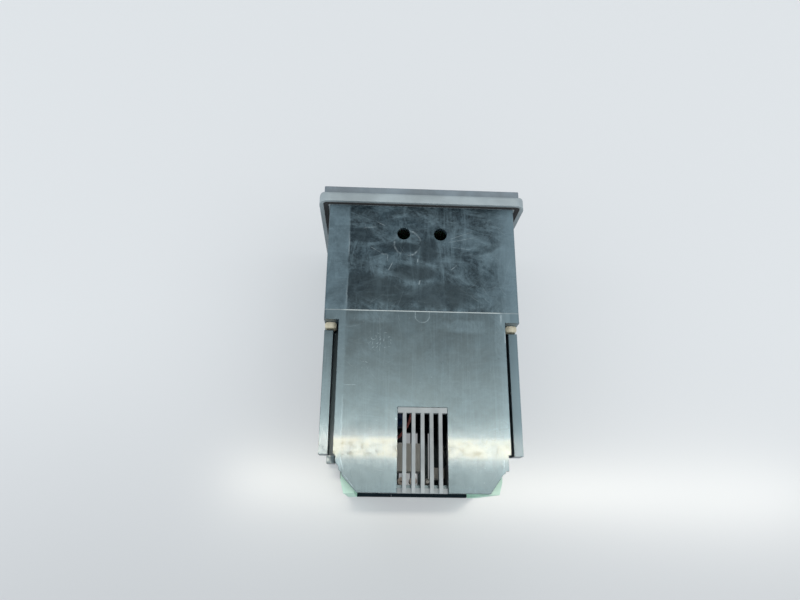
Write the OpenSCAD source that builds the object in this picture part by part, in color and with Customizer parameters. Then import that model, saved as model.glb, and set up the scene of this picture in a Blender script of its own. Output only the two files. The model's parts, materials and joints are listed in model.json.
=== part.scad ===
// Panel-mount electronic controller in a flanged plastic case, with two plug-in terminal blocks at the rear.
// Millimetres. +Z up, the front faces -Y, the origin is under the middle of the whole object.
// Inside from_flange(): x sideways, y = distance behind the rear face of the flange, z from mid-height.

/* [Front flange] */
// Width of the flange
flange_w = 96; // [94:1:110]
// Height of the flange
flange_h = 78; // [76:1:96]
// Thickness of the flange
flange_t = 4.8; // [4:0.1:6]
// Radius of the flange's corners
flange_r = 5; // [2:0.5:6]
// Radius of the flange's front edges
edge_r = 1.3; // [0.5:0.1:2]
// How far the snap-on frame stands in front of the flange
frame_proud = 3.8; // [3.5:0.1:5]
// Inset of the frame from the flange's edge
frame_inset = 2.3; // [1:0.1:4]

/* [Case] */
// How far the flange reaches past each side of the case
overhang_side = 5; // [4:0.5:6]
// How far the flange reaches past the top and the bottom of the case
overhang_top = 4; // [3:0.5:5]
// Distance from the flange to the seam between the case's halves
seam_s = 51.2; // [45:0.1:60]
// Distance from the flange to the rear end of the clamp rails
wall_end_s = 112.5; // [108:0.5:114]
// Distance from the flange to the rear end of the side walls below the rails
side_end_s = 106.5; // [105:0.5:107]
// Distance from the flange to the rear edge of the case
case_end_s = 127.8; // [127:0.1:130]
// Wall thickness of the case
wall = 2.2; // [1.8:0.1:2.6]
// Half width of the raised middle of the rear half
deck_half = 36.5; // [35:0.5:37]
// Depth of the clamp rails below the top
rail_drop = 6; // [4:0.5:7]
// Depth of the grooves below the top
groove_drop = 12; // [9:0.5:12]
// Width of each groove
groove_w = 2.6; // [2:0.1:3]

/* [Holes and vents] */
// Diameter of the two adjuster holes
adjust_d = 6; // [5:0.1:7]
// Distance between the adjuster holes
adjust_pitch = 16.9; // [15:0.1:20]
// Distance from the flange to the adjuster holes
adjust_s = 13.85; // [12:0.1:16]
// Half width of the vent window
vent_half = 10.4; // [8:0.1:12]
// Distance from the flange to the front of the vent window
vent_s = 93.5; // [90:0.5:100]
// Number of vent bars
vent_bars = 5; // [3:1:5]
// Width of a vent bar
bar_w = 1.55; // [1.2:0.05:1.6]

/* [Terminals] */
// Number of ways on each terminal block
ways = 12; // [8:1:12]
// Distance between ways
pitch = 5.08; // [5:0.01:5.08]
// Distance of the plugs' outer faces from the middle
plug_out = 33.2; // [32:0.1:34]
// Distance from the flange to the rear face of the plugs
plug_end_s = 128; // [127.9:0.1:130]

/* [Keys] */
// Travel of a front key
key_travel = 0.8; // [0.4:0.1:0.9]
// Distance between front keys
key_pitch = 18; // [16:1:18]

/* [Hidden] */
$fn = 32;

e = 0.01;                                             // overlap that joins solids of one piece
front_s = -(flange_t + frame_proud);                  // front of the frame
flange_y = -(plug_end_s + front_s) / 2;               // places the whole depth around the origin
case_w = flange_w - 2 * overhang_side;
case_h = flange_h - 2 * overhang_top;
ch = case_h / 2;                                      // half height of the case
cw = case_w / 2;                                      // half width of the case
notch_s = 55.8;                                       // front of the lock notches
notch_len = 3.4;
notch_drop = 9;                                       // depth of the notches below the top
peg_s = notch_s + 1.4;                                // middle of each lock peg
peg_x = 40.2;                                         // middle of each lock peg
peg_stem_r = 1;
spigot_len = 4.5;                                     // how far the rear half enters the front half
spigot_gap = 0.1;
roof_t = 2;                                           // thickness of the decks past the side walls
grille_gap = 0.1;
header_len = 2.4;                                     // bar across the front of the vent
cross_len = 2;                                        // sunk bar across the rear of the vent
cross_sunk = 1.4;
frame_w = flange_w - 2 * frame_inset;
frame_h = flange_h - 2 * frame_inset;
fascia_w = 81;
fascia_h = 65;
fascia_s = -7.2;                                      // front face of the fascia
fascia_t = 1.5;
window_w = 58;
window_h = 31;
window_z = 11;                                        // height of the window's middle
key_w = 12;
key_h = 7;
key_z = -21;
key_front_s = -8.4;
key_flange_t = 0.8;
key_collar_s = fascia_s + fascia_t + 0.3;
stem_end_s = 1.5;
stem_r = 1.7;
switch_s = 2.5;
board_t = 1.6;
front_board_s = 6;                                    // front face of the display board
side_board_x = 17.2;                                  // inner face of each side board
side_board_s = 9.6;
side_board_end = 118;
side_board_half = 30.4;
screw_x = 37;                                         // display board screws
screw_z = 29;
gasket_sunk = 1.2;
gasket_proud = 0.3;
bezel_open_w = 70;
bezel_open_h = 54;
trim_z = 6;                                           // underside of the trimmer board
trim_body_h = 5;
rotor_r = 2.5;
shaft_gap = 0.05;                                     // radial running clearance
header_x = side_board_x + board_t;
header_h = 8.6;
header_s = 106;
plug_in = 18.2;                                       // inner face of the plugs
plug_step = 27.5;                                     // the plugs are shorter between their inner face and here
plug_step_s = 125.8;
plug_s = 118.4;                                       // front of the plugs' bodies
tongue_s = 110;
pin_x = header_x + 4.3;
plug_half = ways * pitch / 2;
clamp_x = 22.4;                                       // middle of the wire entries
screw_s = 122.6;                                      // terminal screws, behind the flange
way_z = [for (i = [0 : ways - 1]) (i - (ways - 1) / 2) * pitch];

shell = "#3a444b";
shell_light = "#46525a";
board_green = "#1f6b3c";
mint = "#9fd0b4";
steel = "#b9bdc0";

// ---- helpers ----
module from_flange() { translate([0, flange_y, flange_h / 2]) children(); }
module span(lo, hi) { translate(lo) cube(hi - lo); }
module both_sides() {
    children();
    mirror([1, 0, 0]) children();
}
module top_and_bottom() {
    children();
    mirror([0, 0, 1]) children();
}
module four_corners() { both_sides() top_and_bottom() children(); }
// Cylinder along +Y from s
module rod_y(r, s, len) { translate([0, s, 0]) rotate([-90, 0, 0]) cylinder(r = r, h = len); }
// Cylinder along +X from x
module rod_x(r, x, len) { translate([x, 0, 0]) rotate([0, 90, 0]) cylinder(r = r, h = len); }
// Flat outline with true round corners, centred
module round_rect(w, h, r) {
    square([w - 2 * r, h], center = true);
    square([w, h - 2 * r], center = true);
    for (x = [-1, 1], y = [-1, 1]) translate([x * (w / 2 - r), y * (h / 2 - r)]) circle(r = r);
}
// Plate facing -Y, from s to s + t
module plate(w, h, r, s, t) { translate([0, s + t, 0]) rotate([90, 0, 0]) linear_extrude(t) round_rect(w, h, r); }
// Ring facing -Y
module ring(w, h, r, wi, hi, ri, s, t) {
    difference() {
        plate(w, h, r, s, t);
        plate(wi, hi, ri, s - 1, t + 2);
    }
}
// Tube swept along a cubic curve through four control points
function bezier(p, t) = pow(1 - t, 3) * p[0] + 3 * pow(1 - t, 2) * t * p[1] + 3 * (1 - t) * t * t * p[2]
    + t * t * t * p[3];
function unit(v) = v / norm(v);
module wire(p, r, rings = 16, sides = 8) {
    path = [for (i = [0 : rings]) bezier(p, i / rings)];
    tang = [for (i = [0 : rings]) unit(path[min(i + 1, rings)] - path[max(i - 1, 0)])];
    side = [for (t = tang) unit(cross(t, [0.3, 0.2, 0.93]))];
    points = [for (i = [0 : rings], k = [0 : sides - 1]) let (a = 360 * k / sides)
        path[i] + r * (cos(a) * side[i] + sin(a) * cross(tang[i], side[i]))];
    skin = [for (i = [0 : rings - 1], k = [0 : sides - 1]) let (a = i * sides, n = (k + 1) % sides)
        [a + k, a + sides + k, a + sides + n, a + n]];
    start = [for (k = [0 : sides - 1]) k];
    finish = [for (k = [sides - 1 : -1 : 0]) rings * sides + k];
    polyhedron(points, concat([start], skin, [finish]), convexity = 4);
}

// ---- front ----
module front_bezel() {
    depth = flange_t + 12;                            // only the front edges of this blank are used
    color(shell_light) from_flange() difference() {
        union() {
            intersection() {
                plate(flange_w, flange_h, flange_r, -flange_t, flange_t);
                translate([0, depth / 2 - flange_t, -50]) linear_extrude(100) round_rect(flange_w, depth, edge_r);
                translate([-60, depth / 2 - flange_t, 0]) rotate([90, 0, 90]) linear_extrude(120)
                    round_rect(depth, flange_h, edge_r);
            }
            ring(case_w - 2 * wall - 0.3, case_h - 2 * wall - 0.3, 1, bezel_open_w + 7, bezel_open_h + 7, 1, -e, 5);
            for (x = [-screw_x, screw_x], z = [-screw_z, screw_z]) translate([x, 0, z])
                rod_y(3.2, -e, front_board_s + e);
        }
        plate(bezel_open_w, bezel_open_h, 1, -10, 30);
        ring(case_w + 6, case_h + 5, 2, case_w + 1.6, case_h + 1.6, 1, -gasket_sunk, 5);
        for (x = [-screw_x, screw_x], z = [-screw_z, screw_z]) translate([x, 0, z])
            rod_y(1.2, -2, 10);
    }
}
module front_frame() {
    color(shell) from_flange() difference() {
        plate(frame_w, frame_h, 0.8, front_s, frame_proud);
        plate(fascia_w + 0.2, fascia_h + 0.2, 1, front_s - 1, fascia_s + fascia_t - front_s + 1);
        plate(fascia_w - 4, fascia_h - 4, 1, front_s, 10);
    }
}
module fascia_panel() {
    color("#23272a") from_flange() difference() {
        plate(fascia_w, fascia_h, 0.9, fascia_s, fascia_t);
        translate([0, 0, window_z]) plate(window_w + 0.1, window_h + 0.1, 1.5, fascia_s - 1, 4);
        for (i = [0 : 3]) key_place(i) plate(key_w + 0.5, key_h + 0.5, 1.7, fascia_s - 1, 4);
    }
}
module display_window() {
    color("#5a1414") from_flange() translate([0, 0, window_z]) {
        plate(window_w, window_h, 1.45, fascia_s, fascia_t + e);
        plate(window_w + 3, window_h + 3, 1.5, fascia_s + fascia_t, 0.8);
    }
}
module key_place(i) { translate([(i - 1.5) * key_pitch, 0, key_z]) children(); }
module key_cap(i) {
    crown = 30;                                       // radius of the cap's domed front
    color("#5c666c") from_flange() key_place(i) {
        intersection() {
            plate(key_w, key_h, 1.5, key_front_s, key_collar_s - key_front_s + e);
            translate([0, key_front_s + crown, -10]) cylinder(r = crown, h = 20, $fn = 96);
        }
        plate(key_w + 2, key_h + 2, 1.5, key_collar_s, key_flange_t);
        rod_y(stem_r, key_collar_s, stem_end_s - key_collar_s);
    }
}
module key_plunger(i) {
    color("#2b2b2b") from_flange() key_place(i) rod_y(stem_r, stem_end_s, 2.8);
}
module key_switches() {
    color("#8d9296") from_flange() for (i = [0 : 3]) key_place(i) difference() {
        plate(6, 6, 0.5, switch_s, front_board_s - switch_s);
        rod_y(stem_r + shaft_gap, switch_s - 1, 4.1);
    }
}
// Sits in a groove in the flange's rear face and stands a little proud of it
module panel_gasket() {
    color("#202427") from_flange()
        ring(case_w + 5.8, case_h + 4.8, 1.9, case_w + 1.8, case_h + 1.8, 1.1, -gasket_sunk, gasket_sunk + gasket_proud);
}

// ---- case ----
module board_guides(s, len) {
    for (x = [side_board_x - 1.3, side_board_x + board_t + 0.1])
        span([x, s, ch - wall - 4], [x + 1.2, s + len, ch - wall + e]);
}
module front_case() {
    color(shell) from_flange() difference() {
        union() {
            ring(case_w, case_h, 0.8, case_w - 2 * wall, case_h - 2 * wall, 0.4, 0, seam_s);
            four_corners() board_guides(20, 20);
        }
        for (x = [-1, 1]) translate([x * adjust_pitch / 2, adjust_s, 0]) cylinder(d = adjust_d, h = 50);
    }
}
// Half outline of the rear half's cross-section: deck, groove and rail, inset by t
function rear_half(t) = [[0, ch - t], [deck_half - t, ch - t], [deck_half - t, ch - groove_drop - t],
    [deck_half + groove_w - (t > 0 ? t : 0), ch - groove_drop - t],
    each (t > 0 ? [] : [[deck_half + groove_w, ch - rail_drop]]), [cw - t, ch - (t > 0 ? groove_drop + t : rail_drop)],
    [cw - t, 0], [0, 0]];
module rear_section(t, s, len) {
    translate([0, s + len, 0]) rotate([90, 0, 0]) linear_extrude(len)
        for (a = [0, 1], b = [0, 1]) mirror([a, 0]) mirror([0, b]) polygon(rear_half(t));
}
// Deck outlines past the side walls: one rear corner is broken off, the other keeps a small tab
deck_outline = [[-deck_half, notch_s], [-deck_half, wall_end_s], [-35.3, wall_end_s], [-35.3, 118.9],
    [-34.1, 118.9], [-33.6, 119.8], [-32.8, 120.3], [-27.4, case_end_s], [26.4, case_end_s], [29.9, 124.2],
    [32.6, 121.3], [32.9, 119.9], [33.9, 119.2], [34.1, 117.6], [35.2, 116.6], [35.6, 114.8], [35.3, 113.9],
    [deck_half, wall_end_s], [deck_half, notch_s]];
plain_outline = [[-deck_half, notch_s], [-deck_half, 119], [-27.4, case_end_s], [27.4, case_end_s],
    [deck_half, 119], [deck_half, notch_s]];
module deck(outline) { translate([0, 0, ch - roof_t]) linear_extrude(roof_t) polygon(outline); }
module vent_window() { span([-vent_half, vent_s, ch - 6], [vent_half, case_end_s + 5, ch + 5]); }
module notch() {
    span([deck_half, notch_s, ch - notch_drop], [cw + 5, notch_s + notch_len, ch + 5]);
}
module rear_case() {
    color(shell) from_flange() difference() {
        union() {
            difference() {
                union() {
                    plate(case_w, case_h, 0.8, seam_s, notch_s - seam_s);
                    rear_section(0, notch_s - e, wall_end_s - notch_s + e);
                    plate(case_w - 2 * wall - 2 * spigot_gap, case_h - 2 * wall - 2 * spigot_gap, 0.4,
                        seam_s - spigot_len, spigot_len + e);
                }
                rear_section(wall, notch_s - 1, wall_end_s - notch_s + 10);
                plate(case_w - 4 * wall, case_h - 4 * wall, 0.4, seam_s - spigot_len - 1, 10);
            }
            // end walls of the terminal bays
            both_sides() {
                span([header_x + header_h + 0.3, side_end_s - 1.8, -ch + groove_drop + 1],
                    [cw - 1, side_end_s, ch - groove_drop - 1]);
                span([header_x + header_h + 0.3, side_end_s - 1.8, -ch + 1], [deck_half - 1, side_end_s, ch - 1]);
            }
            deck(deck_outline);
            mirror([0, 0, 1]) deck(plain_outline);
            four_corners() board_guides(64, 40);
            // ledges that carry the vent grilles
            four_corners() span([vent_half, vent_s - 2, ch - roof_t - 1.5], [vent_half + 2.5, case_end_s - 1, ch - 1]);
            top_and_bottom() span([-vent_half - 2, vent_s - 2.5, ch - 4], [vent_half + 2, vent_s, ch - 1]);
        }
        top_and_bottom() vent_window();
        four_corners() notch();
        four_corners() translate([peg_x - 1, peg_s, 20]) cylinder(r = peg_stem_r + shaft_gap, h = 20);
        // below the rails the side walls end further forward
        both_sides() span([deck_half - wall - 0.5, side_end_s, -ch + groove_drop + wall],
            [cw + 1, wall_end_s + 5, ch - groove_drop - wall]);
    }
}
// Closes the middle of the rear end between the two terminal blocks
module rear_panel() {
    half = 17;
    cheek_s = 113;
    back_s = case_end_s - 1.6;
    color(shell) from_flange() difference() {
        span([-half, cheek_s, -ch + roof_t + 0.1], [half, back_s, ch - roof_t - 0.1]);
        span([-half + 1.6, cheek_s - 1, -ch], [half - 1.6, back_s - 1.8, ch]);
        for (x = [-8 : 4 : 8]) span([x - 0.8, back_s - 3, -15], [x + 0.8, back_s + 1, 15]);
        top_and_bottom() span([-vent_half - 2.7, back_s - 4, ch - roof_t - 3], [vent_half + 2.7, back_s + 1, ch]);
    }
}
module vent_grille() {
    bar_pitch = (2 * vent_half + bar_w) / (vent_bars + 1);
    span([-vent_half + grille_gap, vent_s + grille_gap, ch - 3.4], [vent_half - grille_gap, vent_s + header_len, ch]);
    for (i = [1 : vent_bars]) {
        x = -vent_half - bar_w / 2 + i * bar_pitch;
        span([x - bar_w / 2, vent_s + header_len - e, ch - 3.4], [x + bar_w / 2, case_end_s, ch]);
    }
    span([-vent_half + grille_gap, case_end_s - cross_len, ch - 3.4],
        [vent_half - grille_gap, case_end_s, ch - cross_sunk]);
}
module vent_grille_top() { color(shell_light) from_flange() vent_grille(); }
module vent_grille_bottom() { color(shell_light) from_flange() mirror([0, 0, 1]) vent_grille(); }
// Nylon peg that locks the two halves of the case, one in each notch
module lock_peg() {
    crown = 4.4;                                      // radius of the peg's domed top
    translate([peg_x, peg_s, ch - notch_drop]) {
        intersection() {
            linear_extrude(6) round_rect(5.1, 2.6, 0.9);
            translate([0, -5, 0.2]) rotate([-90, 0, 0]) cylinder(r = crown, h = 10, $fn = 48);
        }
        translate([-1, 0, -4]) cylinder(r = peg_stem_r, h = 4 + e);
    }
}
module lock_pegs_top() { color("#c8c0a5") from_flange() both_sides() lock_peg(); }
module lock_pegs_bottom() { color("#c8c0a5") from_flange() both_sides() mirror([0, 0, 1]) lock_peg(); }

// ---- display ----
module display_board() {
    color(board_green) from_flange() difference() {
        plate(80, 64, 1, front_board_s, board_t);
        for (x = [-screw_x, screw_x], z = [-screw_z, screw_z]) translate([x, 0, z])
            rod_y(1.6, front_board_s - 1, 5);
    }
}
// Pan-head screw whose head sits behind s, pointing to the front
module pan_screw(shank_r, head_r, len) {
    difference() {
        union() {
            rod_y(shank_r, -len, len + e);
            rod_y(head_r, 0, 1.6);
        }
        span([-head_r, 0.9, -0.3], [head_r, 3, 0.3]);
        span([-0.3, 0.9, -head_r], [0.3, 3, head_r]);
    }
}
module board_screws() {
    color(steel) from_flange() for (x = [-screw_x, screw_x], z = [-screw_z, screw_z])
        translate([x, front_board_s + board_t, z]) pan_screw(1.15, 2.6, 7);
}
module led_digits(z, digit_w, digit_h, count) {
    gap = 0.25;                                       // half the slit between two digits
    translate([0, 0, z]) for (i = [0 : count - 1]) translate([(i - (count - 1) / 2) * digit_w, 0, 0])
        plate(digit_w - 2 * gap, digit_h, 0.3, -2, front_board_s + 2);
}
module led_digits_upper() { color("#d9d6cc") from_flange() led_digits(window_z + 5, 12.6, 15, 4); }
module led_digits_lower() { color("#d9d6cc") from_flange() led_digits(window_z - 9, 8, 10, 4); }
module status_leds() {
    color("#b34a3a") from_flange() for (i = [0 : 3]) translate([-27.1, 0, window_z + 12 - i * 7]) {
        rod_y(1.5, -1, 6);
        rod_y(1.9, 4.6, 1.4);
    }
}

// ---- adjusters ----
module trimmer_board() {
    color(board_green) from_flange() span([-15, front_board_s + board_t, trim_z], [15, 21, trim_z + board_t]);
}
module trimmer_body(side) {
    color("#22303c") from_flange() translate([side * adjust_pitch / 2, adjust_s, trim_z + board_t]) difference() {
        linear_extrude(trim_body_h) round_rect(9.6, 9.6, 0.4);
        translate([0, 0, 1.5]) cylinder(r = rotor_r + shaft_gap, h = 10);
    }
}
module trimmer_rotor(side) {
    color("#5a5c58") from_flange() translate([side * adjust_pitch / 2, adjust_s, trim_z + board_t]) difference() {
        translate([0, 0, 1.6]) cylinder(r = rotor_r, h = trim_body_h - 0.8);
        span([-3, -0.35, trim_body_h - 0.3], [3, 0.35, trim_body_h + 3]);
        span([0, -0.8, trim_body_h - 0.3], [3, 0.8, trim_body_h + 3]);
    }
}

// ---- boards and what they carry ----
module side_board() {
    difference() {
        span([side_board_x, side_board_s, -side_board_half],
            [side_board_x + board_t, side_board_end, side_board_half]);
        for (s = [24, 100]) translate([0, s, -26]) rod_x(1.6, side_board_x - 1, 4);
    }
}
module main_board() { color(board_green) from_flange() mirror([1, 0, 0]) side_board(); }
module power_board() { color(board_green) from_flange() side_board(); }
module board_links() {
    color("#1c1c1c") from_flange() both_sides()
        span([header_x, front_board_s + board_t, -19], [header_x + 2.5, side_board_s + 6, 19]);
}
module transformer_core() {
    color("#6b6f73") from_flange() translate([side_board_x - 4, 40, 0]) difference() {
        span([-20, -16, -13.5], [0, 16, 13.5]);
        for (d = [-1, 1]) translate([0, d * 8, 0]) span([-21, -3, -9], [1, 3, 9]);
    }
}
module transformer_bobbin() {
    color("#1e2326") from_flange() translate([side_board_x - 4, 40, 0]) {
        for (d = [-1, 1]) translate([0, d * 8, 0]) span([-22, -2.9, -8.9], [-20.2, 2.9, 8.9]);
        span([0, -14, -14], [4, 14, 14]);
    }
}
module transformer_coil() {
    color("#b5752f") from_flange() translate([side_board_x - 4, 40, 0])
        for (d = [-1, 1]) translate([0, d * 8, 0]) span([-20.1, -2.7, -8.7], [-0.1, 2.7, 8.7]);
}
module transformer_leads() {
    from_flange() {
        color("#a03a40") wire([[15.4, 55, 12.5], [15, 72, 34], [-10, 100, 34], [16.6, 108, 18]], 0.55);
        color("#a03a40") wire([[14, 55, 9], [12, 66, 38], [12, 90, 34], [16.6, 92, 20]], 0.55);
    }
}
module relays() {
    color("#26292c") from_flange() for (z = [-20, 0, 20]) translate([-header_x, 88, z])
        span([-15, -9.6, -7.7], [0, 9.6, 7.7]);
}
module fuse() {
    color("#cfd6d6") from_flange() translate([header_x + 6, 0, 14]) {
        rod_y(2.6, 70, 20);
    }
}
module fuse_clips() {
    color(steel) from_flange() for (s = [71.5, 84.5]) difference() {
        span([header_x, s, 14 - 3.4], [header_x + 8.4, s + 4, 14 + 3.4]);
        translate([header_x + 6, 0, 14]) rod_y(2.65, 60, 40);
        span([header_x + 6, s - 1, 14 - 2.2], [header_x + 10, s + 5, 14 + 2.2]);
    }
}
module electrolytic_caps() {
    color("#2b3f66") from_flange() {
        translate([0, 69, 14]) rod_x(8, side_board_x - 25, 25);
        translate([0, 67, -12]) rod_x(6.2, side_board_x - 20, 20);
        translate([0, 84, -10]) rod_x(5, side_board_x - 13, 13);
        translate([0, 99, -14]) rod_x(4, side_board_x - 11.5, 11.5);
    }
}
module film_caps() {
    color("#a9a892") from_flange() {
        span([-0.6, 107, 8], [11, 118.6, 22]);
        span([-11, 116.5, 2], [-5.6, 121, 15]);
    }
}
module resistors() {
    body_r = 1.6;
    color("#a08468") from_flange() {
        for (x = [3, 8]) translate([x, 0, 19]) {
            translate([0, 122.6, -2.2]) cylinder(r = body_r, h = 6);
            translate([0, 122.6, -14]) cylinder(r = 0.35, h = 22);
        }
        for (i = [0 : 5]) translate([-13.6, 96 + i * 4, 18]) {
            cylinder(r = 1.2, h = 6.4);
            translate([0, 0, -2]) cylinder(r = 0.3, h = 10.4);
        }
    }
}
module thermal_fuse() {
    color("#e9e6da") from_flange() translate([-2.9, 122.9, 15]) {
        cylinder(r = 1.4, h = 8);
        translate([0, 0, 8 - e]) cylinder(r1 = 1.4, r2 = 0.6, h = 2.6);
        translate([0, 0, -6]) cylinder(r = 0.35, h = 6 + e);
    }
}
module varistor() {
    color("#2f5f9a") from_flange() translate([0, 92, 2]) rod_x(6, 6, 4.4);
}
module controller_chip() {
    color("#191b1d") from_flange() span([-side_board_x + 3.2, 60, -23], [-side_board_x + 7, 74, 27]);
}
module chip_socket() {
    color("#30353a") from_flange() span([-side_board_x, 58.5, -24], [-side_board_x + 3.2, 75.5, 28]);
}
module heat_sink() {
    color("#9aa0a3") from_flange() {
        span([header_x, 40, -24], [header_x + 1.6, 62, 20]);
        for (z = [-24 : 7 : 18]) span([header_x + 1.6 - e, 40, z], [header_x + 12, 62, z + 1.4]);
    }
}

// ---- terminals, drawn on the +X side ----
module terminal_header() {
    difference() {
        span([header_x, header_s, -plug_half], [header_x + header_h, side_board_end, plug_half]);
        span([header_x + 1, header_s + 2, -plug_half + 0.9],
            [header_x + header_h - 1, side_board_end + 1, plug_half - 0.9]);
        for (z = way_z) span([pin_x - 0.55, header_s - 1, z - 0.55], [pin_x + 0.55, header_s + 3, z + 0.55]);
    }
}
module header_pins() {
    for (z = way_z) {
        span([pin_x - 0.5, header_s - 1.6, z - 0.5], [pin_x + 0.5, 116, z + 0.5]);
        span([header_x, header_s - 1.6, z - 0.5], [pin_x, header_s - 0.6, z + 0.5]);
    }
}
module terminal_plug() {
    chamfer = [1.4, 5];                               // bevel of the outer rear edge
    tongue_half = plug_half - 1.3;
    outline = [[plug_in, plug_s], [plug_out, plug_s], [plug_out, plug_end_s - chamfer[1]],
        [plug_out - chamfer[0], plug_end_s], [plug_step, plug_end_s], [plug_step, plug_step_s],
        [plug_in, plug_step_s]];
    difference() {
        union() {
            translate([0, 0, -plug_half]) linear_extrude(2 * plug_half) polygon(outline);
            span([header_x + 1.5, tongue_s, -tongue_half], [header_x + header_h - 1.5, plug_s + e, tongue_half]);
        }
        for (z = way_z) {
            span([clamp_x - 2.1, 119.6, z - 1.9], [clamp_x + 2.1, plug_end_s + 1, z + 1.9]);
            translate([0, screw_s, z]) rod_x(1.9, clamp_x + 2, 20);
            span([pin_x - 0.7, tongue_s - 1, z - 0.7], [pin_x + 0.7, 119.7, z + 0.7]);
        }
    }
}
module terminal_screws() {
    for (z = way_z) translate([0, screw_s, z]) difference() {
        union() {
            rod_x(1.3, clamp_x + 2.2, 5);
            rod_x(1.75, clamp_x + 6.4, 2);
        }
        span([clamp_x + 7.4, -3, -0.3], [clamp_x + 12, 3, 0.3]);
    }
}
module wire_clamps() {
    for (z = way_z) difference() {
        span([clamp_x - 2, 120, z - 1.8], [clamp_x + 2, 125.2, z + 1.8]);
        span([clamp_x - 1.3, 117, z - 1.2], [clamp_x + 1.3, 128, z + 1.2]);
    }
}
module terminal_header_left() { color(mint) from_flange() terminal_header(); }
module terminal_header_right() { color(mint) from_flange() mirror([1, 0, 0]) terminal_header(); }
module header_pins_left() { color(steel) from_flange() header_pins(); }
module header_pins_right() { color(steel) from_flange() mirror([1, 0, 0]) header_pins(); }
module terminal_plug_left() { color(mint) from_flange() terminal_plug(); }
module terminal_plug_right() { color(mint) from_flange() mirror([1, 0, 0]) terminal_plug(); }
module terminal_screws_left() { color(steel) from_flange() terminal_screws(); }
module terminal_screws_right() { color(steel) from_flange() mirror([1, 0, 0]) terminal_screws(); }
module wire_clamps_left() { color(steel) from_flange() wire_clamps(); }
module wire_clamps_right() { color(steel) from_flange() mirror([1, 0, 0]) wire_clamps(); }

front_bezel();
front_frame();
fascia_panel();
display_window();
key_cap(0);  // key_1
key_cap(1);  // key_2
key_cap(2);  // key_3
key_cap(3);  // key_4
key_plunger(0);  // key_plunger_1
key_plunger(1);  // key_plunger_2
key_plunger(2);  // key_plunger_3
key_plunger(3);  // key_plunger_4
key_switches();
panel_gasket();
front_case();
rear_case();
rear_panel();
vent_grille_top();
vent_grille_bottom();
lock_pegs_top();
lock_pegs_bottom();
display_board();
board_screws();
led_digits_upper();
led_digits_lower();
status_leds();
trimmer_board();
trimmer_body(1);  // trimmer_body_left
trimmer_body(-1);  // trimmer_body_right
trimmer_rotor(1);  // trimmer_rotor_left
trimmer_rotor(-1);  // trimmer_rotor_right
main_board();
power_board();
board_links();
transformer_core();
transformer_bobbin();
transformer_coil();
transformer_leads();
relays();
fuse();
fuse_clips();
electrolytic_caps();
film_caps();
resistors();
thermal_fuse();
varistor();
controller_chip();
chip_socket();
heat_sink();
terminal_header_left();
terminal_header_right();
header_pins_left();
header_pins_right();
terminal_plug_left();
terminal_plug_right();
terminal_screws_left();
terminal_screws_right();
wire_clamps_left();
wire_clamps_right();
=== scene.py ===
"""Looks for the panel-mount controller: materials, worn plastic, the pale floor, lights and the camera."""
import json
import math

import bmesh
import bpy
from mathutils import Matrix, Vector

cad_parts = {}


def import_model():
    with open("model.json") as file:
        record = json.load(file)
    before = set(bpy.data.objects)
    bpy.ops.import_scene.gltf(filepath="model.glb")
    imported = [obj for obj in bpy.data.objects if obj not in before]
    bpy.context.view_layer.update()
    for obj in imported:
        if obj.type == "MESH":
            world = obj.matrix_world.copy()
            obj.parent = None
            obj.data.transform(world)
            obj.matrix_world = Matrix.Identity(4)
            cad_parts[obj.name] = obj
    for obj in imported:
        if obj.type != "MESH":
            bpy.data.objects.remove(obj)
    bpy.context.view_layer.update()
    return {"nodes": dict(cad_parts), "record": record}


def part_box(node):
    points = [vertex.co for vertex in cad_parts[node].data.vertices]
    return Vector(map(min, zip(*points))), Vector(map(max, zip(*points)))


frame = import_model()
NODES = frame["nodes"]

MM = 0.001
PER_MM = 1 / MM
FLANGE_W = 96 * MM                      # the camera was solved with the flange's width as the unit
CAMERA_ABOVE_FLANGE = 2.5894 * FLANGE_W  # camera height above the flange's top edge
CAMERA_SIDE = 0.217 * FLANGE_W          # camera's sideways distance from the middle
CAMERA_BEHIND = 0.075 * FLANGE_W        # camera's distance behind the case's rear edge
LENS_MM = 27.234
SENSOR_MM = 36.0
# The camera's axes in the object's frame: to the right and up in the picture
CAMERA_RIGHT = (-0.99886, -0.00985, 0.04673)
CAMERA_UP = (0.02475, -0.94357, 0.33025)
STRIP_PLACE = (-0.38, -0.060, 1.25)      # the long narrow light whose reflection crosses the case's rear end
STRIP_SIZE = (1.5, 0.051)
STRIP_TURN = math.radians(-1.2)          # its reflection runs slightly askew

flange_low, flange_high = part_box("front_bezel")
case_low, case_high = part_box("rear_case")
front_low, front_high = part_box("front_case")
FLANGE_BACK = front_low.y                # the marks on the case are placed in mm behind this face
SEAM = (front_high.y - FLANGE_BACK) / MM
MIDDLE_Z = (flange_low.z + flange_high.z) / 2
GROOVE_TOP = case_high.z - 6 * MM        # the tops of the clamp rails


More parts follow.
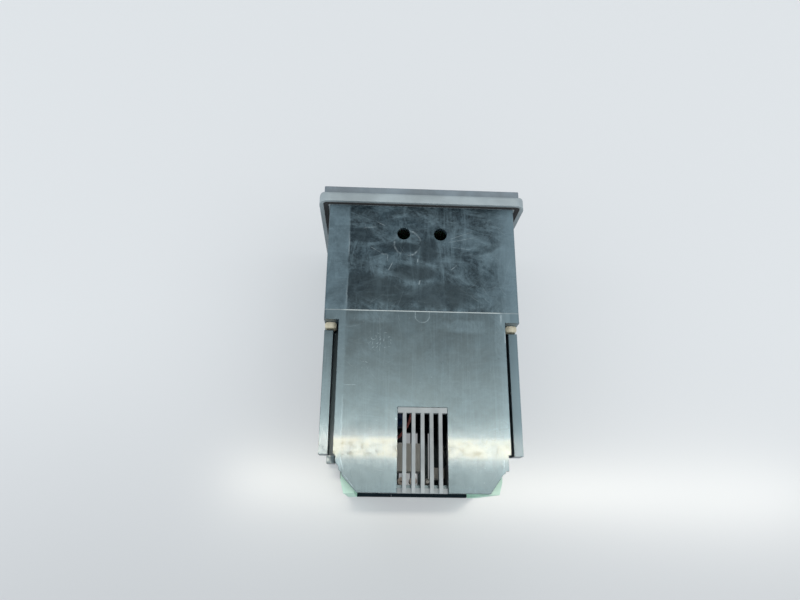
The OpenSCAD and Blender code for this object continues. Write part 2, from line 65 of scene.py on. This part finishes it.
# ---------------------------------------------------------------- materials
class Graph:
    """Short calls for building a node tree."""

    def __init__(self, name):
        self.mat = bpy.data.materials.new(name)
        self.mat.use_nodes = True
        self.tree = self.mat.node_tree
        self.tree.nodes.clear()
        self.out = self.tree.nodes.new("ShaderNodeOutputMaterial")
        self.bsdf = self.tree.nodes.new("ShaderNodeBsdfPrincipled")
        self.tree.links.new(self.bsdf.outputs["BSDF"], self.out.inputs["Surface"])
        coords = self.tree.nodes.new("ShaderNodeTexCoord")
        self.object = coords.outputs["Object"]

    def node(self, kind, **settings):
        made = self.tree.nodes.new(kind)
        for key, value in settings.items():
            setattr(made, key, value)
        return made

    def put(self, socket, value):
        """Links value to socket when it is an output, or else sets it as the socket's own value."""
        if isinstance(value, bpy.types.NodeSocket):
            self.tree.links.new(value, socket)
        elif socket.type == "RGBA" and len(value) == 3:
            socket.default_value = (*value, 1.0)
        else:
            socket.default_value = value

    def stretch(self, scale, turn=(0, 0, 0)):
        made = self.node("ShaderNodeMapping")
        made.inputs["Scale"].default_value = scale
        made.inputs["Rotation"].default_value = turn
        self.put(made.inputs["Vector"], self.object)
        return made.outputs["Vector"]

    def noise(self, scale, detail=3.0, rough=0.5, vector=None, distort=0.0):
        made = self.node("ShaderNodeTexNoise")
        made.inputs["Scale"].default_value = scale
        made.inputs["Detail"].default_value = detail
        made.inputs["Roughness"].default_value = rough
        made.inputs["Distortion"].default_value = distort
        self.put(made.inputs["Vector"], vector or self.object)
        return made.outputs["Fac"]

    def voronoi(self, scale):
        made = self.node("ShaderNodeTexVoronoi", feature="F1")
        made.inputs["Scale"].default_value = scale
        self.put(made.inputs["Vector"], self.object)
        return made.outputs["Distance"]

    def band(self, value, low, high, to_low=0.0, to_high=1.0):
        made = self.node("ShaderNodeMapRange", interpolation_type="SMOOTHSTEP")
        self.put(made.inputs["Value"], value)
        for key, number in (("From Min", low), ("From Max", high), ("To Min", to_low), ("To Max", to_high)):
            made.inputs[key].default_value = number
        return made.outputs["Result"]

    def math(self, operation, a, b=None, clamp=False):
        made = self.node("ShaderNodeMath", operation=operation, use_clamp=clamp)
        self.put(made.inputs[0], a)
        if b is not None:
            self.put(made.inputs[1], b)
        return made.outputs["Value"]

    def product(self, *factors):
        made = factors[0]
        for factor in factors[1:]:
            made = self.math("MULTIPLY", made, factor)
        return made

    def near(self, value, middle, inner, outer):
        """1 where value is within inner of middle, fading to 0 at outer."""
        away = self.math("ABSOLUTE", self.math("SUBTRACT", value, middle))
        return self.band(away, inner, outer, 1.0, 0.0)

    def mix(self, fac, a, b):
        made = self.node("ShaderNodeMix", data_type="RGBA", blend_type="MIX")
        self.put(made.inputs["Factor"], fac)
        self.put(made.inputs["A"], a)
        self.put(made.inputs["B"], b)
        return made.outputs["Result"]

    def axis(self, name):
        made = self.node("ShaderNodeSeparateXYZ")
        self.put(made.inputs["Vector"], self.object)
        return made.outputs[name]

    def place(self):
        """Sideways place and distance behind the flange, both in mm."""
        if not hasattr(self, "spot_axes"):
            across = self.math("MULTIPLY", self.axis("X"), PER_MM)
            behind = self.math("MULTIPLY", self.math("SUBTRACT", self.axis("Y"), FLANGE_BACK), PER_MM)
            self.spot_axes = across, behind
            self.ragged = self.math("SUBTRACT", self.noise(140.0, 5.0, 0.7), 0.5)
        return self.spot_axes

    def spot(self, x, s, half_x, half_s, soft=0.6, ragged=1.6):
        """Ragged oval patch round x, s in mm: 1 inside, 0 outside."""
        across, behind = self.place()
        dx = self.math("DIVIDE", self.math("SUBTRACT", across, x), half_x)
        ds = self.math("DIVIDE", self.math("SUBTRACT", behind, s), half_s)
        far = self.math("ADD", self.math("MULTIPLY", dx, dx), self.math("MULTIPLY", ds, ds))
        far = self.math("ADD", far, self.math("MULTIPLY", self.ragged, ragged))
        return self.band(far, 1 - soft, 1 + soft, 1.0, 0.0)

    def stroke(self, x0, s0, x1, s1, half_width=0.16):
        """Straight scratch between two points in mm, fading at its ends."""
        across, behind = self.place()
        length = math.hypot(x1 - x0, s1 - s0)
        ux, us = (x1 - x0) / length, (s1 - s0) / length
        dx = self.math("SUBTRACT", across, (x0 + x1) / 2)
        ds = self.math("SUBTRACT", behind, (s0 + s1) / 2)
        along = self.math("ADD", self.math("MULTIPLY", dx, ux), self.math("MULTIPLY", ds, us))
        off = self.math("SUBTRACT", self.math("MULTIPLY", dx, us), self.math("MULTIPLY", ds, ux))
        off = self.math("ADD", off, self.math("MULTIPLY", self.ragged, 0.8))
        thin = self.band(self.math("ABSOLUTE", off), 0.0, half_width * 1.6, 1.0, 0.0)
        reach = self.band(self.math("ABSOLUTE", along), length * 0.3, length * 0.5, 1.0, 0.0)
        return self.math("MULTIPLY", thin, reach)

    def arc(self, x, s, radius, half_width=0.3, wobble=1.2):
        """Circular scuff round x, s in mm, broken up along its way."""
        across, behind = self.place()
        dx = self.math("SUBTRACT", across, x)
        ds = self.math("SUBTRACT", behind, s)
        far = self.math("ADD", self.math("MULTIPLY", dx, dx), self.math("MULTIPLY", ds, ds))
        far = self.math("SQRT", far)
        off = self.math("ADD", self.math("SUBTRACT", far, radius), self.math("MULTIPLY", self.ragged, wobble))
        return self.band(self.math("ABSOLUTE", off), 0.0, half_width * 1.8, 1.0, 0.0)

    def top(self):
        """1 on faces that look up, 0 elsewhere."""
        coords = self.node("ShaderNodeTexCoord")
        parts = self.node("ShaderNodeSeparateXYZ")
        self.put(parts.inputs["Vector"], coords.outputs["Normal"])
        return self.band(parts.outputs["Z"], 0.6, 0.9)

    def most(self, *masks):
        made = masks[0]
        for mask in masks[1:]:
            made = self.math("MAXIMUM", made, mask)
        return made

    def hairlines(self, cell, half_width, share, seed, curve=0.0, lengthwise=False):
        """One short scratch per cell of a scattered grid, each at its own angle; sizes in mm."""
        moved = self.node("ShaderNodeVectorMath", operation="ADD")
        self.put(moved.inputs[0], self.object)
        moved.inputs[1].default_value = (seed, seed * 0.61, seed * 0.37)
        vector = moved.outputs["Vector"]
        cells = self.node("ShaderNodeTexVoronoi", feature="F1")
        cells.inputs["Scale"].default_value = PER_MM / cell
        self.put(cells.inputs["Vector"], vector)
        gap = self.node("ShaderNodeVectorMath", operation="SUBTRACT")
        self.put(gap.inputs[0], vector)
        self.put(gap.inputs[1], cells.outputs["Position"])
        away = self.node("ShaderNodeSeparateXYZ")
        self.put(away.inputs["Vector"], gap.outputs["Vector"])
        dice = self.node("ShaderNodeSeparateColor")
        self.put(dice.inputs["Color"], cells.outputs["Color"])
        spread = 0.5 if lengthwise else math.pi
        angle = self.math("MULTIPLY", self.math("SUBTRACT", dice.outputs["Red"], 0.5), spread)
        if lengthwise:
            angle = self.math("ADD", angle, math.pi / 2)
        cos, sin = self.math("COSINE", angle), self.math("SINE", angle)
        dx, dy = away.outputs["X"], away.outputs["Y"]
        along = self.math("ADD", self.math("MULTIPLY", dx, cos), self.math("MULTIPLY", dy, sin))
        off = self.math("SUBTRACT", self.math("MULTIPLY", dy, cos), self.math("MULTIPLY", dx, sin))
        bend = self.math("MULTIPLY", self.math("MULTIPLY", along, along), curve * PER_MM / cell)
        off = self.math("ABSOLUTE", self.math("ADD", off, bend))
        line = self.band(off, 0.0, half_width * MM * 1.5, 1.0, 0.0)
        reach = self.band(self.math("ABSOLUTE", along), cell * MM * 0.2, cell * MM * 0.5, 1.0, 0.0)
        kept = self.math("LESS_THAN", dice.outputs["Green"], share)
        return self.math("MULTIPLY", self.math("MULTIPLY", line, reach), kept)

    def bevel(self, radius_mm):
        made = self.node("ShaderNodeBevel", samples=4)
        made.inputs["Radius"].default_value = radius_mm * MM
        return made.outputs["Normal"]

    def bump(self, height, strength, distance=0.0002, normal=None):
        made = self.node("ShaderNodeBump")
        made.inputs["Strength"].default_value = strength
        made.inputs["Distance"].default_value = distance
        self.put(made.inputs["Height"], height)
        if normal is not None:
            self.put(made.inputs["Normal"], normal)
        return made.outputs["Normal"]

    def finish(self, **sockets):
        for key, value in sockets.items():
            self.put(self.bsdf.inputs[key.replace("_", " ")], value)
        return self.mat


def plain(name, color, rough, bump_scale=900.0, bump=0.25, vary=0.12, metallic=0.0, speck=0.0, coat=0.0,
          edge=0.0):
    """Moulded or machined surface: slight mottling in colour and gloss, and a fine texture in its relief."""
    g = Graph(name)
    cloud = g.noise(60.0, 4.0, 0.6)
    darker = tuple(c * (1 - vary) for c in color)
    lighter = tuple(min(1.0, c * (1 + vary) + 0.004) for c in color)
    base = g.mix(g.band(cloud, 0.3, 0.7), darker, lighter)
    if speck:
        dust = g.band(g.noise(1400.0, 2.0, 0.5), 0.66, 0.78)
        base = g.mix(g.math("MULTIPLY", dust, speck), base, (0.75, 0.74, 0.7))
    gloss = g.band(g.noise(180.0, 5.0, 0.6), 0.25, 0.75, rough - 0.07, rough + 0.09)
    fine = g.bump(g.noise(bump_scale, 3.0, 0.6), bump, 0.00008, g.bevel(edge) if edge else None)
    g.bsdf.inputs["Metallic"].default_value = metallic
    g.bsdf.inputs["Coat Weight"].default_value = coat
    return g.finish(Base_Color=base, Roughness=gloss, Normal=fine)


DARK, MID, PALE = (0.004, 0.010, 0.015), (0.020, 0.038, 0.050), (0.14, 0.205, 0.24)
# pale scuff colour, also used for a painted edge highlight on the case's top
SCUFF_AND_HIGHLIGHT = (0.36, 0.43, 0.46)


def front_marks(g):
    """Where the top of the front half is darker, paler and scratched, in mm."""
    dark = g.most(g.spot(4, 33, 10, 4), g.spot(24, 41, 15, 7), g.spot(27, 15, 5, 4), g.spot(9, 21, 9, 2.4),
                  g.spot(-8, 44, 15, 6), g.spot(10, 46, 9, 3), g.spot(-3, 22, 4, 6))
    pale = g.most(g.spot(19, 11, 9, 3), g.spot(13, 27, 9, 2.6), g.spot(-20, 17, 12, 4), g.spot(-25, 8, 11, 3),
                  g.spot(-31, 34, 5, 17), g.spot(7, 18.5, 8, 6), g.spot(-14, 30, 6, 5))
    lines = g.most(g.stroke(15.5, 32.5, 13.2, 27.9, 0.2), g.stroke(-12.9, 31.7, -15.9, 28.8, 0.2),
                   g.stroke(23.8, 20.8, 18.9, 23.6, 0.14), g.stroke(19, 24.3, 15.6, 24.4, 0.14),
                   g.stroke(15.7, 24, 15.6, 28.2, 0.14), g.stroke(27.3, 11.6, 20.4, 10.8, 0.14),
                   g.stroke(21, 8, 17, 10.2, 0.14), g.stroke(-11.5, 18, -26, 14.5, 0.1),
                   g.stroke(-12, 16.3, -24, 11.8, 0.1), g.stroke(-13, 20, -23, 21.2, 0.1),
                   g.stroke(1.0, 36.4, 1.6, 39, 0.3), g.stroke(1.9, 26, 2.1, 28.2, 0.25))
    rings = g.math("MULTIPLY", g.arc(6.8, 18.6, 6.0, 0.35, 2.2), g.band(g.noise(110.0, 3.0, 0.6), 0.42, 0.60))
    return dark, pale, g.most(lines, rings)


def rear_marks(g):
    """The same for the rear half: moulding mark, speckles, nicks and chipped corners."""
    across, behind = g.place()
    dots = [g.spot(x, s, 0.45, 0.45, 0.4, 0.2) for x, s in ((-33, 72.1), (-33.7, 96.2), (-14.6, 105.2))]
    dark = g.most(g.spot(-19, 122.4, 13, 3.5), g.spot(22, 121, 11, 4), g.spot(17, 118.3, 1.3, 0.7, 0.5, 1.2),
                  g.spot(-33, 117.4, 0.8, 0.8, 0.4, 0.6), *dots)
    pale = g.most(g.spot(20, 54.5, 10, 2.6), g.spot(-34, 62, 2.4, 12), g.spot(-20, 58, 12, 3))
    cluster = g.math("MULTIPLY", g.spot(18.4, 65, 5.0, 5.0, 0.8), g.hairlines(1.6, 0.13, 0.5, 0.9, 0.4))
    second = g.math("MULTIPLY", g.spot(24.5, 75.5, 2.4, 2.0, 0.8), g.hairlines(1.4, 0.11, 0.45, 1.7, 0.4))
    nicks = g.most(g.stroke(33.5, 84.6, 27.6, 84.5, 0.12), g.stroke(-34.9, 51.6, -34.6, 57, 0.4),
                   g.spot(10.9, 98.4, 0.5, 0.6, 0.3, 0.8), g.stroke(-36.4, 59, -36.2, 66, 0.35),
                   g.stroke(33.6, 113.4, 32.2, 119.4, 0.3), g.stroke(32.0, 120.6, 27.4, 126.2, 0.16),
                   g.stroke(-33.4, 114, -33.1, 119, 0.25))
    bowl = g.arc(0, 53.4, 3.1, 0.2, 0.5)
    bowl = g.math("MULTIPLY", bowl, g.band(behind, 53.0, 53.6))
    legs = g.near(g.math("ABSOLUTE", across), 3.1, 0.0, 0.32)
    legs = g.math("MULTIPLY", legs, g.band(behind, 53.2, 53.6, 1.0, 0.0))
    mould = g.math("MULTIPLY", g.most(bowl, legs), g.band(g.noise(260.0, 3.0), 0.3, 0.6, 0.3, 0.8))
    return dark, pale, g.most(cluster, second, nicks, mould)


def case_plastic(name, rear):
    """Dark blue-grey ABS with smears, hairline scratches, scuffs and dust; the rear half is shinier."""
    g = Graph(name)
    across, behind = g.place()
    top = g.top()
    swirl = g.noise(26.0, 7.0, 0.72, distort=1.6)
    base = g.mix(g.band(swirl, 0.40, 0.66), DARK, MID)
    smear = g.noise(1.0, 7.0, 0.74, g.stretch((34, 78, 34), turn=(0, 0, 0.9)), 2.2)
    base = g.mix(g.math("MULTIPLY", g.band(smear, 0.45, 0.68), 0.15 if rear else 0.60), base, PALE)
    wipe = g.noise(1.0, 6.0, 0.75, g.stretch((150, 26, 60), turn=(0, 0, -0.7)), 1.2)
    base = g.mix(g.math("MULTIPLY", g.band(wipe, 0.48, 0.70), 0.11 if rear else 0.50), base, PALE)
    sides = g.noise(1.0, 4.0, 0.65, g.stretch((1100, 22, 1100)))
    base = g.mix(g.math("MULTIPLY", g.band(sides, 0.5, 0.8), 0.22 if rear else 0.06), base, PALE)
    mottle = g.band(g.noise(520.0, 5.0, 0.7), 0.40, 0.66)
    base = g.mix(g.math("MULTIPLY", mottle, 0.08 if rear else 0.24), base, PALE)
    dark, pale, marks = rear_marks(g) if rear else front_marks(g)
    patchy = g.band(g.noise(85.0, 6.0, 0.75, distort=1.2), 0.38, 0.62)
    base = g.mix(g.product(pale, top, patchy, 0.34), base, PALE)
    base = g.mix(g.product(dark, top, 0.72), base, DARK)
    # the top is paler in patches along its left edge, and a painted highlight runs along the uneven inner
    # line of that strip; towards its right side the case turns paler on every face
    edge = g.math("ADD", across, g.math("MULTIPLY", g.ragged, 2.0))
    pale_left_edge = g.band(g.noise(45.0, 5.0, 0.7), 0.3, 0.65, 0.4, 1.0)
    pale_left_edge = g.math("MULTIPLY", g.band(edge, 32.8, 33.8), pale_left_edge)
    base = g.mix(g.math("MULTIPLY", pale_left_edge, 0.40 if rear else 0.72), base, PALE)
    # painted highlight: a broken bright line along the inner edge of the pale left strip
    painted_edge_highlight = g.near(edge, 33.4, 0.0, 0.5)
    painted_edge_highlight = g.math("MULTIPLY", painted_edge_highlight, g.band(g.noise(60.0, 3.0), 0.50, 0.66))
    base = g.mix(g.math("MULTIPLY", painted_edge_highlight, 0.30), base, SCUFF_AND_HIGHLIGHT)
    base = g.mix(g.band(across, -43.0, -30.0, 0.80, 0.0), base, PALE)
    lines = g.most(g.hairlines(9.0, 0.08, 0.4, 0.11, 0.25), g.hairlines(5.0, 0.07, 0.35, 0.37, 0.15),
                   g.hairlines(13.0, 0.09, 0.5, 0.73, 0.08, lengthwise=rear))
    scratched = g.band(g.noise(38.0, 3.0, 0.6), 0.46, 0.64)
    lines = g.math("MULTIPLY", lines, scratched)
    base = g.mix(g.math("MULTIPLY", lines, 0.22), base, SCUFF_AND_HIGHLIGHT)
    broken = g.band(g.noise(700.0, 4.0, 0.7), 0.34, 0.6, 0.25, 1.0)
    base = g.mix(g.product(marks, top, broken, 0.55), base, SCUFF_AND_HIGHLIGHT)
    if rear:
        # the edge where the two halves meet catches the light
        lip = g.near(behind, SEAM + 0.15, 0.1, 0.4)
        lip = g.math("MULTIPLY", lip, g.band(g.math("ABSOLUTE", across), 33.0, 36.0, 1.0, 0.35))
        lip = g.math("MULTIPLY", lip, g.band(g.noise(120.0, 4.0), 0.25, 0.5, 0.45, 1.0))
        base = g.mix(g.math("MULTIPLY", lip, 0.85), base, (0.55, 0.60, 0.60))
    chips = g.math("MULTIPLY", g.band(g.voronoi(500.0), 0.10, 0.04), g.band(g.noise(70.0, 2.0), 0.56, 0.68))
    base = g.mix(g.math("MULTIPLY", chips, 0.5), base, SCUFF_AND_HIGHLIGHT)
    dirt = g.band(g.noise(1500.0, 2.0, 0.5), 0.70, 0.80)
    base = g.mix(g.math("MULTIPLY", dirt, 0.2), base, (0.5, 0.5, 0.47))
    low, high = (0.27, 0.34) if rear else (0.22, 0.34)
    rough = g.band(g.noise(48.0, 5.0, 0.65, distort=0.8), 0.3, 0.7, low, high)
    rough = g.math("ADD", rough, g.math("MULTIPLY", lines, 0.15), clamp=True)
    height = g.math("ADD", g.math("MULTIPLY", g.noise(700.0, 4.0, 0.6), 0.5), g.math("MULTIPLY", lines, -0.6))
    flecks = g.band(g.noise(380.0, 5.0, 0.8, distort=1.2), 0.50, 0.60)
    shine = 0.15 if rear else 0.08
    worn, gloss = flecks, 0.26
    if rear:
        # crazed, slightly yellowed skin across the rear end, where the heat comes out; the yellow tint is
        # kept to the band where the strip light's highlight falls, and is partly yellowing and partly painted
        # warmth of that highlight
        worn = g.math("MULTIPLY", flecks, g.band(behind, 106.5, 109.0, 0.0, 0.75))
        worn = g.math("MULTIPLY", worn, g.band(behind, 111.5, 115.0, 1.0, 0.32))
        worn = g.math("MAXIMUM", worn, g.band(across, -39.0, -38.4, 0.6, 0.0))
        # yellow tint over the highlight band: partly yellowed skin, partly a painted warm highlight
        yellowing_and_highlight_warmth = g.math("MULTIPLY", g.band(behind, 105.0, 107.5), g.band(behind, 112.5, 115.5, 1.0, 0.0))
        on_deck = g.band(g.axis("Z"), GROOVE_TOP + 0.001, GROOVE_TOP + 0.003)
        yellowing_and_highlight_warmth = g.product(yellowing_and_highlight_warmth, top, on_deck, g.band(g.noise(110.0, 4.0), 0.3, 0.6, 0.4, 1.0))
        base = g.mix(g.math("MULTIPLY", yellowing_and_highlight_warmth, 0.34), base, (0.62, 0.46, 0.16))
        # the grooves beside the rails get painted shade, dark in the recess, and don't shine
        low_down = g.band(g.axis("Z"), GROOVE_TOP - 0.0015, GROOVE_TOP - 0.0005, 1.0, 0.0)
        inside = g.band(g.math("ABSOLUTE", across), 39.2, 39.6, 1.0, 0.0)
        groove_shade = g.product(low_down, inside, g.band(behind, 54.0, 55.0))
        # painted shade: the groove floors are darkened where the deck's wall hides them from the light
        base = g.mix(g.math("MULTIPLY", groove_shade, 0.85), base, DARK)
        worn = g.math("MAXIMUM", worn, groove_shade)
        gloss = g.band(worn, 0.0, 1.0, 0.52, 0.12)
    g.bsdf.inputs["Coat Roughness"].default_value = 0.09
    g.bsdf.inputs["Specular Tint"].default_value = (0.66, 0.88, 1.0, 1.0)
    coat = g.band(worn, 0.0, 1.0, shine, shine * 0.15)
    relief = g.bump(height, 0.12, 0.0001, g.bevel(0.35))
    return g.finish(Base_Color=base, Roughness=rough, Coat_Weight=coat, Specular_IOR_Level=gloss,
                    Normal=relief)


def digit_face(name, first_x, width, half_w, half_h, mid_z, bar):
    """Dark block with the seven pale bars of each digit on it, in mm; neither row is lit."""
    g = Graph(name)
    x_mm = g.math("MULTIPLY", g.axis("X"), PER_MM)
    z_mm = g.math("SUBTRACT", g.math("MULTIPLY", g.axis("Z"), PER_MM), mid_z)
    cell = g.math("FRACT", g.math("DIVIDE", g.math("SUBTRACT", x_mm, first_x), width))
    u = g.math("MULTIPLY", g.math("SUBTRACT", cell, 0.5), width)
    u = g.math("SUBTRACT", u, g.math("MULTIPLY", z_mm, 0.09))
    soft = 0.15
    flat, upright = half_w - bar * 0.6, half_h / 2 - bar * 0.6
    shapes = [(0, z, flat, bar / 2) for z in (-half_h, 0, half_h)]
    shapes += [(x, z, bar / 2, upright) for x in (-half_w, half_w) for z in (-half_h / 2, half_h / 2)]
    bars = [g.product(g.near(u, x, reach_x, reach_x + soft), g.near(z_mm, z, reach_z, reach_z + soft))
            for x, z, reach_x, reach_z in shapes]
    base = g.mix(g.most(*bars), (0.07, 0.07, 0.07), (0.80, 0.78, 0.74))
    return g.finish(Base_Color=base, Roughness=0.45)


MATERIALS = {
    "front_case": case_plastic("case_front", rear=False),
    "rear_case": case_plastic("case_rear", rear=True),
    "vent_grille_top": plain("grille_grey", (0.25, 0.29, 0.305), 0.55, 700.0, 0.3,
                             vary=0.2, speck=0.2, edge=0.15),
    "led_digits_upper": digit_face("digits_upper", -25.2, 12.6, 3.4, 4.6, MIDDLE_Z / MM + 16, 1.5),
    "led_digits_lower": digit_face("digits_lower", -16.0, 8.0, 2.0, 2.9, MIDDLE_Z / MM + 2, 0.95),
    "bezel_grey": plain("bezel_grey", (0.275, 0.335, 0.36), 0.42, vary=0.14, speck=0.15, edge=0.35),
    "frame_black": plain("frame_dark", (0.135, 0.18, 0.215), 0.45, vary=0.2, speck=0.2, edge=0.3),
    "fascia_dark": plain("fascia_film", (0.012, 0.014, 0.017), 0.5, 1600.0, 0.3),
    "key_grey": plain("key_grey", (0.20, 0.23, 0.25), 0.5, 1200.0, 0.3),
    "black_plastic": plain("black_plastic", (0.018, 0.018, 0.02), 0.5),
    "gasket_rubber": plain("gasket_rubber", (0.016, 0.018, 0.02), 0.85, 1500.0, 0.5, speck=0.2),
    "nylon_cream": plain("nylon_cream", (0.57, 0.53, 0.39), 0.42, 500.0, 0.3, vary=0.1),
    "board_green": plain("board_green", (0.012, 0.085, 0.045), 0.3, 700.0, 0.3, vary=0.25, coat=0.3),
    "steel": plain("plated_steel", (0.62, 0.62, 0.60), 0.32, 500.0, 0.3, metallic=1.0),
    "switch_grey": plain("switch_grey", (0.3, 0.31, 0.32), 0.45),
    "led_red": plain("led_red", (0.45, 0.03, 0.02), 0.2),
    "trimmer_dark": plain("trimmer_dark", (0.012, 0.02, 0.026), 0.5),
    "rotor_grey": plain("rotor_grey", (0.08, 0.08, 0.075), 0.5),
    "core_iron": plain("core_iron", (0.16, 0.16, 0.165), 0.4, 300.0, 0.5, metallic=0.6),
    "coil_tape": plain("coil_tape", (0.50, 0.27, 0.05), 0.3, 250.0, 0.4),
    "lead_red": plain("lead_red", (0.50, 0.14, 0.13), 0.4),
    "capacitor_sleeve": plain("capacitor_sleeve", (0.012, 0.024, 0.045), 0.35),
    "film_grey": plain("film_grey", (0.40, 0.41, 0.37), 0.45),
    "resistor_tan": plain("resistor_tan", (0.50, 0.36, 0.26), 0.4),
    "ceramic_white": plain("ceramic_white", (0.8, 0.78, 0.72), 0.3),
    "varistor_blue": plain("varistor_blue", (0.02, 0.09, 0.28), 0.35),
    "chip_black": plain("chip_black", (0.014, 0.014, 0.016), 0.55),
    "heat_sink_aluminium": plain("heat_sink", (0.6, 0.61, 0.62), 0.35, 300.0, 0.4, metallic=1.0),
    "terminal_green": plain("terminal_green", (0.47, 0.74, 0.61), 0.48, 800.0, 0.3, vary=0.08, edge=0.2),
}


def see_through(name, color, rough, share):
    """Tinted clear plastic or glass over its own colour."""
    g = Graph(name)
    g.bsdf.inputs["Transmission Weight"].default_value = share
    g.bsdf.inputs["IOR"].default_value = 1.49
    tint = g.mix(g.band(g.noise(90.0, 3.0), 0.3, 0.7), color, tuple(c * 0.9 for c in color))
    return g.finish(Base_Color=tint, Roughness=g.band(g.noise(200.0, 4.0), 0.3, 0.7, rough, rough + 0.05))


MATERIALS["window_red"] = see_through("window_red", (0.42, 0.018, 0.014), 0.06, 0.92)
MATERIALS["fuse_glass"] = see_through("fuse_glass", (0.85, 0.9, 0.9), 0.05, 0.95)

slot_of = {row["node"]: row["material_slot"] for row in frame["record"]["subparts"]}
for name, cad_object in NODES.items():
    key = name if name in MATERIALS else slot_of[name]
    key = "rear_case" if key == "case_black" else key
    for index in range(len(cad_object.material_slots)):
        cad_object.material_slots[index].material = MATERIALS[key]


# ---------------------------------------------------------------- stage, camera and light
def stage_floor():
    """Pale glossy table, tilted to touch the bottom edges of the flange and of the case's rear end."""
    lean = math.atan2(case_low.z - flange_low.z, case_high.y - FLANGE_BACK)
    mesh = bpy.data.meshes.new("floor")
    shape = bmesh.new()
    bmesh.ops.create_grid(shape, x_segments=1, y_segments=1, size=6.0)
    shape.to_mesh(mesh)
    shape.free()
    floor = bpy.data.objects.new("floor", mesh)
    bpy.context.scene.collection.objects.link(floor)
    floor.rotation_euler = (lean, 0, 0)
    drop = 0.0004
    floor.location = (0, FLANGE_BACK, flange_low.z - drop)
    g = Graph("floor_white")
    sheen = g.band(g.noise(3.0, 2.0), 0.3, 0.7, 0.20, 0.24)
    g.bsdf.inputs["Specular IOR Level"].default_value = 0.16
    # painted light: the floor glows a little to lift the shade the case casts on it, and glows less towards
    # the camera, which paints shade there
    painted_glow = g.band(g.axis("Y"), 0.02, 0.24, 0.34, 0.16)
    g.bsdf.inputs["Emission Color"].default_value = (0.93, 0.975, 1.0, 1.0)
    mesh.materials.append(g.finish(Base_Color=(0.415, 0.43, 0.445), Roughness=sheen, Emission_Strength=painted_glow))


def camera():
    data = bpy.data.cameras.new("camera")
    data.lens = LENS_MM
    data.sensor_width = SENSOR_MM
    data.clip_start = 0.01
    made = bpy.data.objects.new("camera", data)
    bpy.context.scene.collection.objects.link(made)
    right, up = Vector(CAMERA_RIGHT).normalized(), Vector(CAMERA_UP)
    up = (up - right * up.dot(right)).normalized()
    back = right.cross(up)
    turn = Matrix((right, up, back)).transposed().to_4x4()
    place = Vector((CAMERA_SIDE, case_high.y + CAMERA_BEHIND, flange_high.z + CAMERA_ABOVE_FLANGE))
    made.matrix_world = Matrix.Translation(place) @ turn
    bpy.context.scene.camera = made


def area_light(name, place, target, size, power, color=(1, 1, 1)):
    data = bpy.data.lights.new(name, "AREA")
    data.shape = "RECTANGLE"
    data.size, data.size_y = size
    data.energy = power
    data.color = color
    made = bpy.data.objects.new(name, data)
    bpy.context.scene.collection.objects.link(made)
    made.location = place
    made.rotation_euler = (Vector(target) - Vector(place)).to_track_quat("-Z", "Y").to_euler()
    return made


def world(strength, color):
    made = bpy.data.worlds.new("studio")
    made.use_nodes = True
    made.node_tree.nodes["Background"].inputs["Color"].default_value = (*color, 1)
    made.node_tree.nodes["Background"].inputs["Strength"].default_value = strength
    bpy.context.scene.world = made


stage_floor()
camera()
world(0.84, (0.955, 0.98, 1.0))
bpy.context.scene.view_settings.view_transform = "Standard"
below = (STRIP_PLACE[0], STRIP_PLACE[1], 0)
strip = area_light("strip", STRIP_PLACE, below, STRIP_SIZE, 22.5, (1.0, 0.955, 0.84))
strip.rotation_euler.z += STRIP_TURN
strip.visible_diffuse = False
area_light("key", (-0.62, 0.10, 0.90), (0, 0, 0.03), (0.7, 0.7), 2.3, (1.0, 0.99, 0.98))
area_light("fill", (0.75, 0.0, 0.55), (0.08, 0, 0), (0.6, 0.6), 1.2, (0.97, 0.985, 1.0))
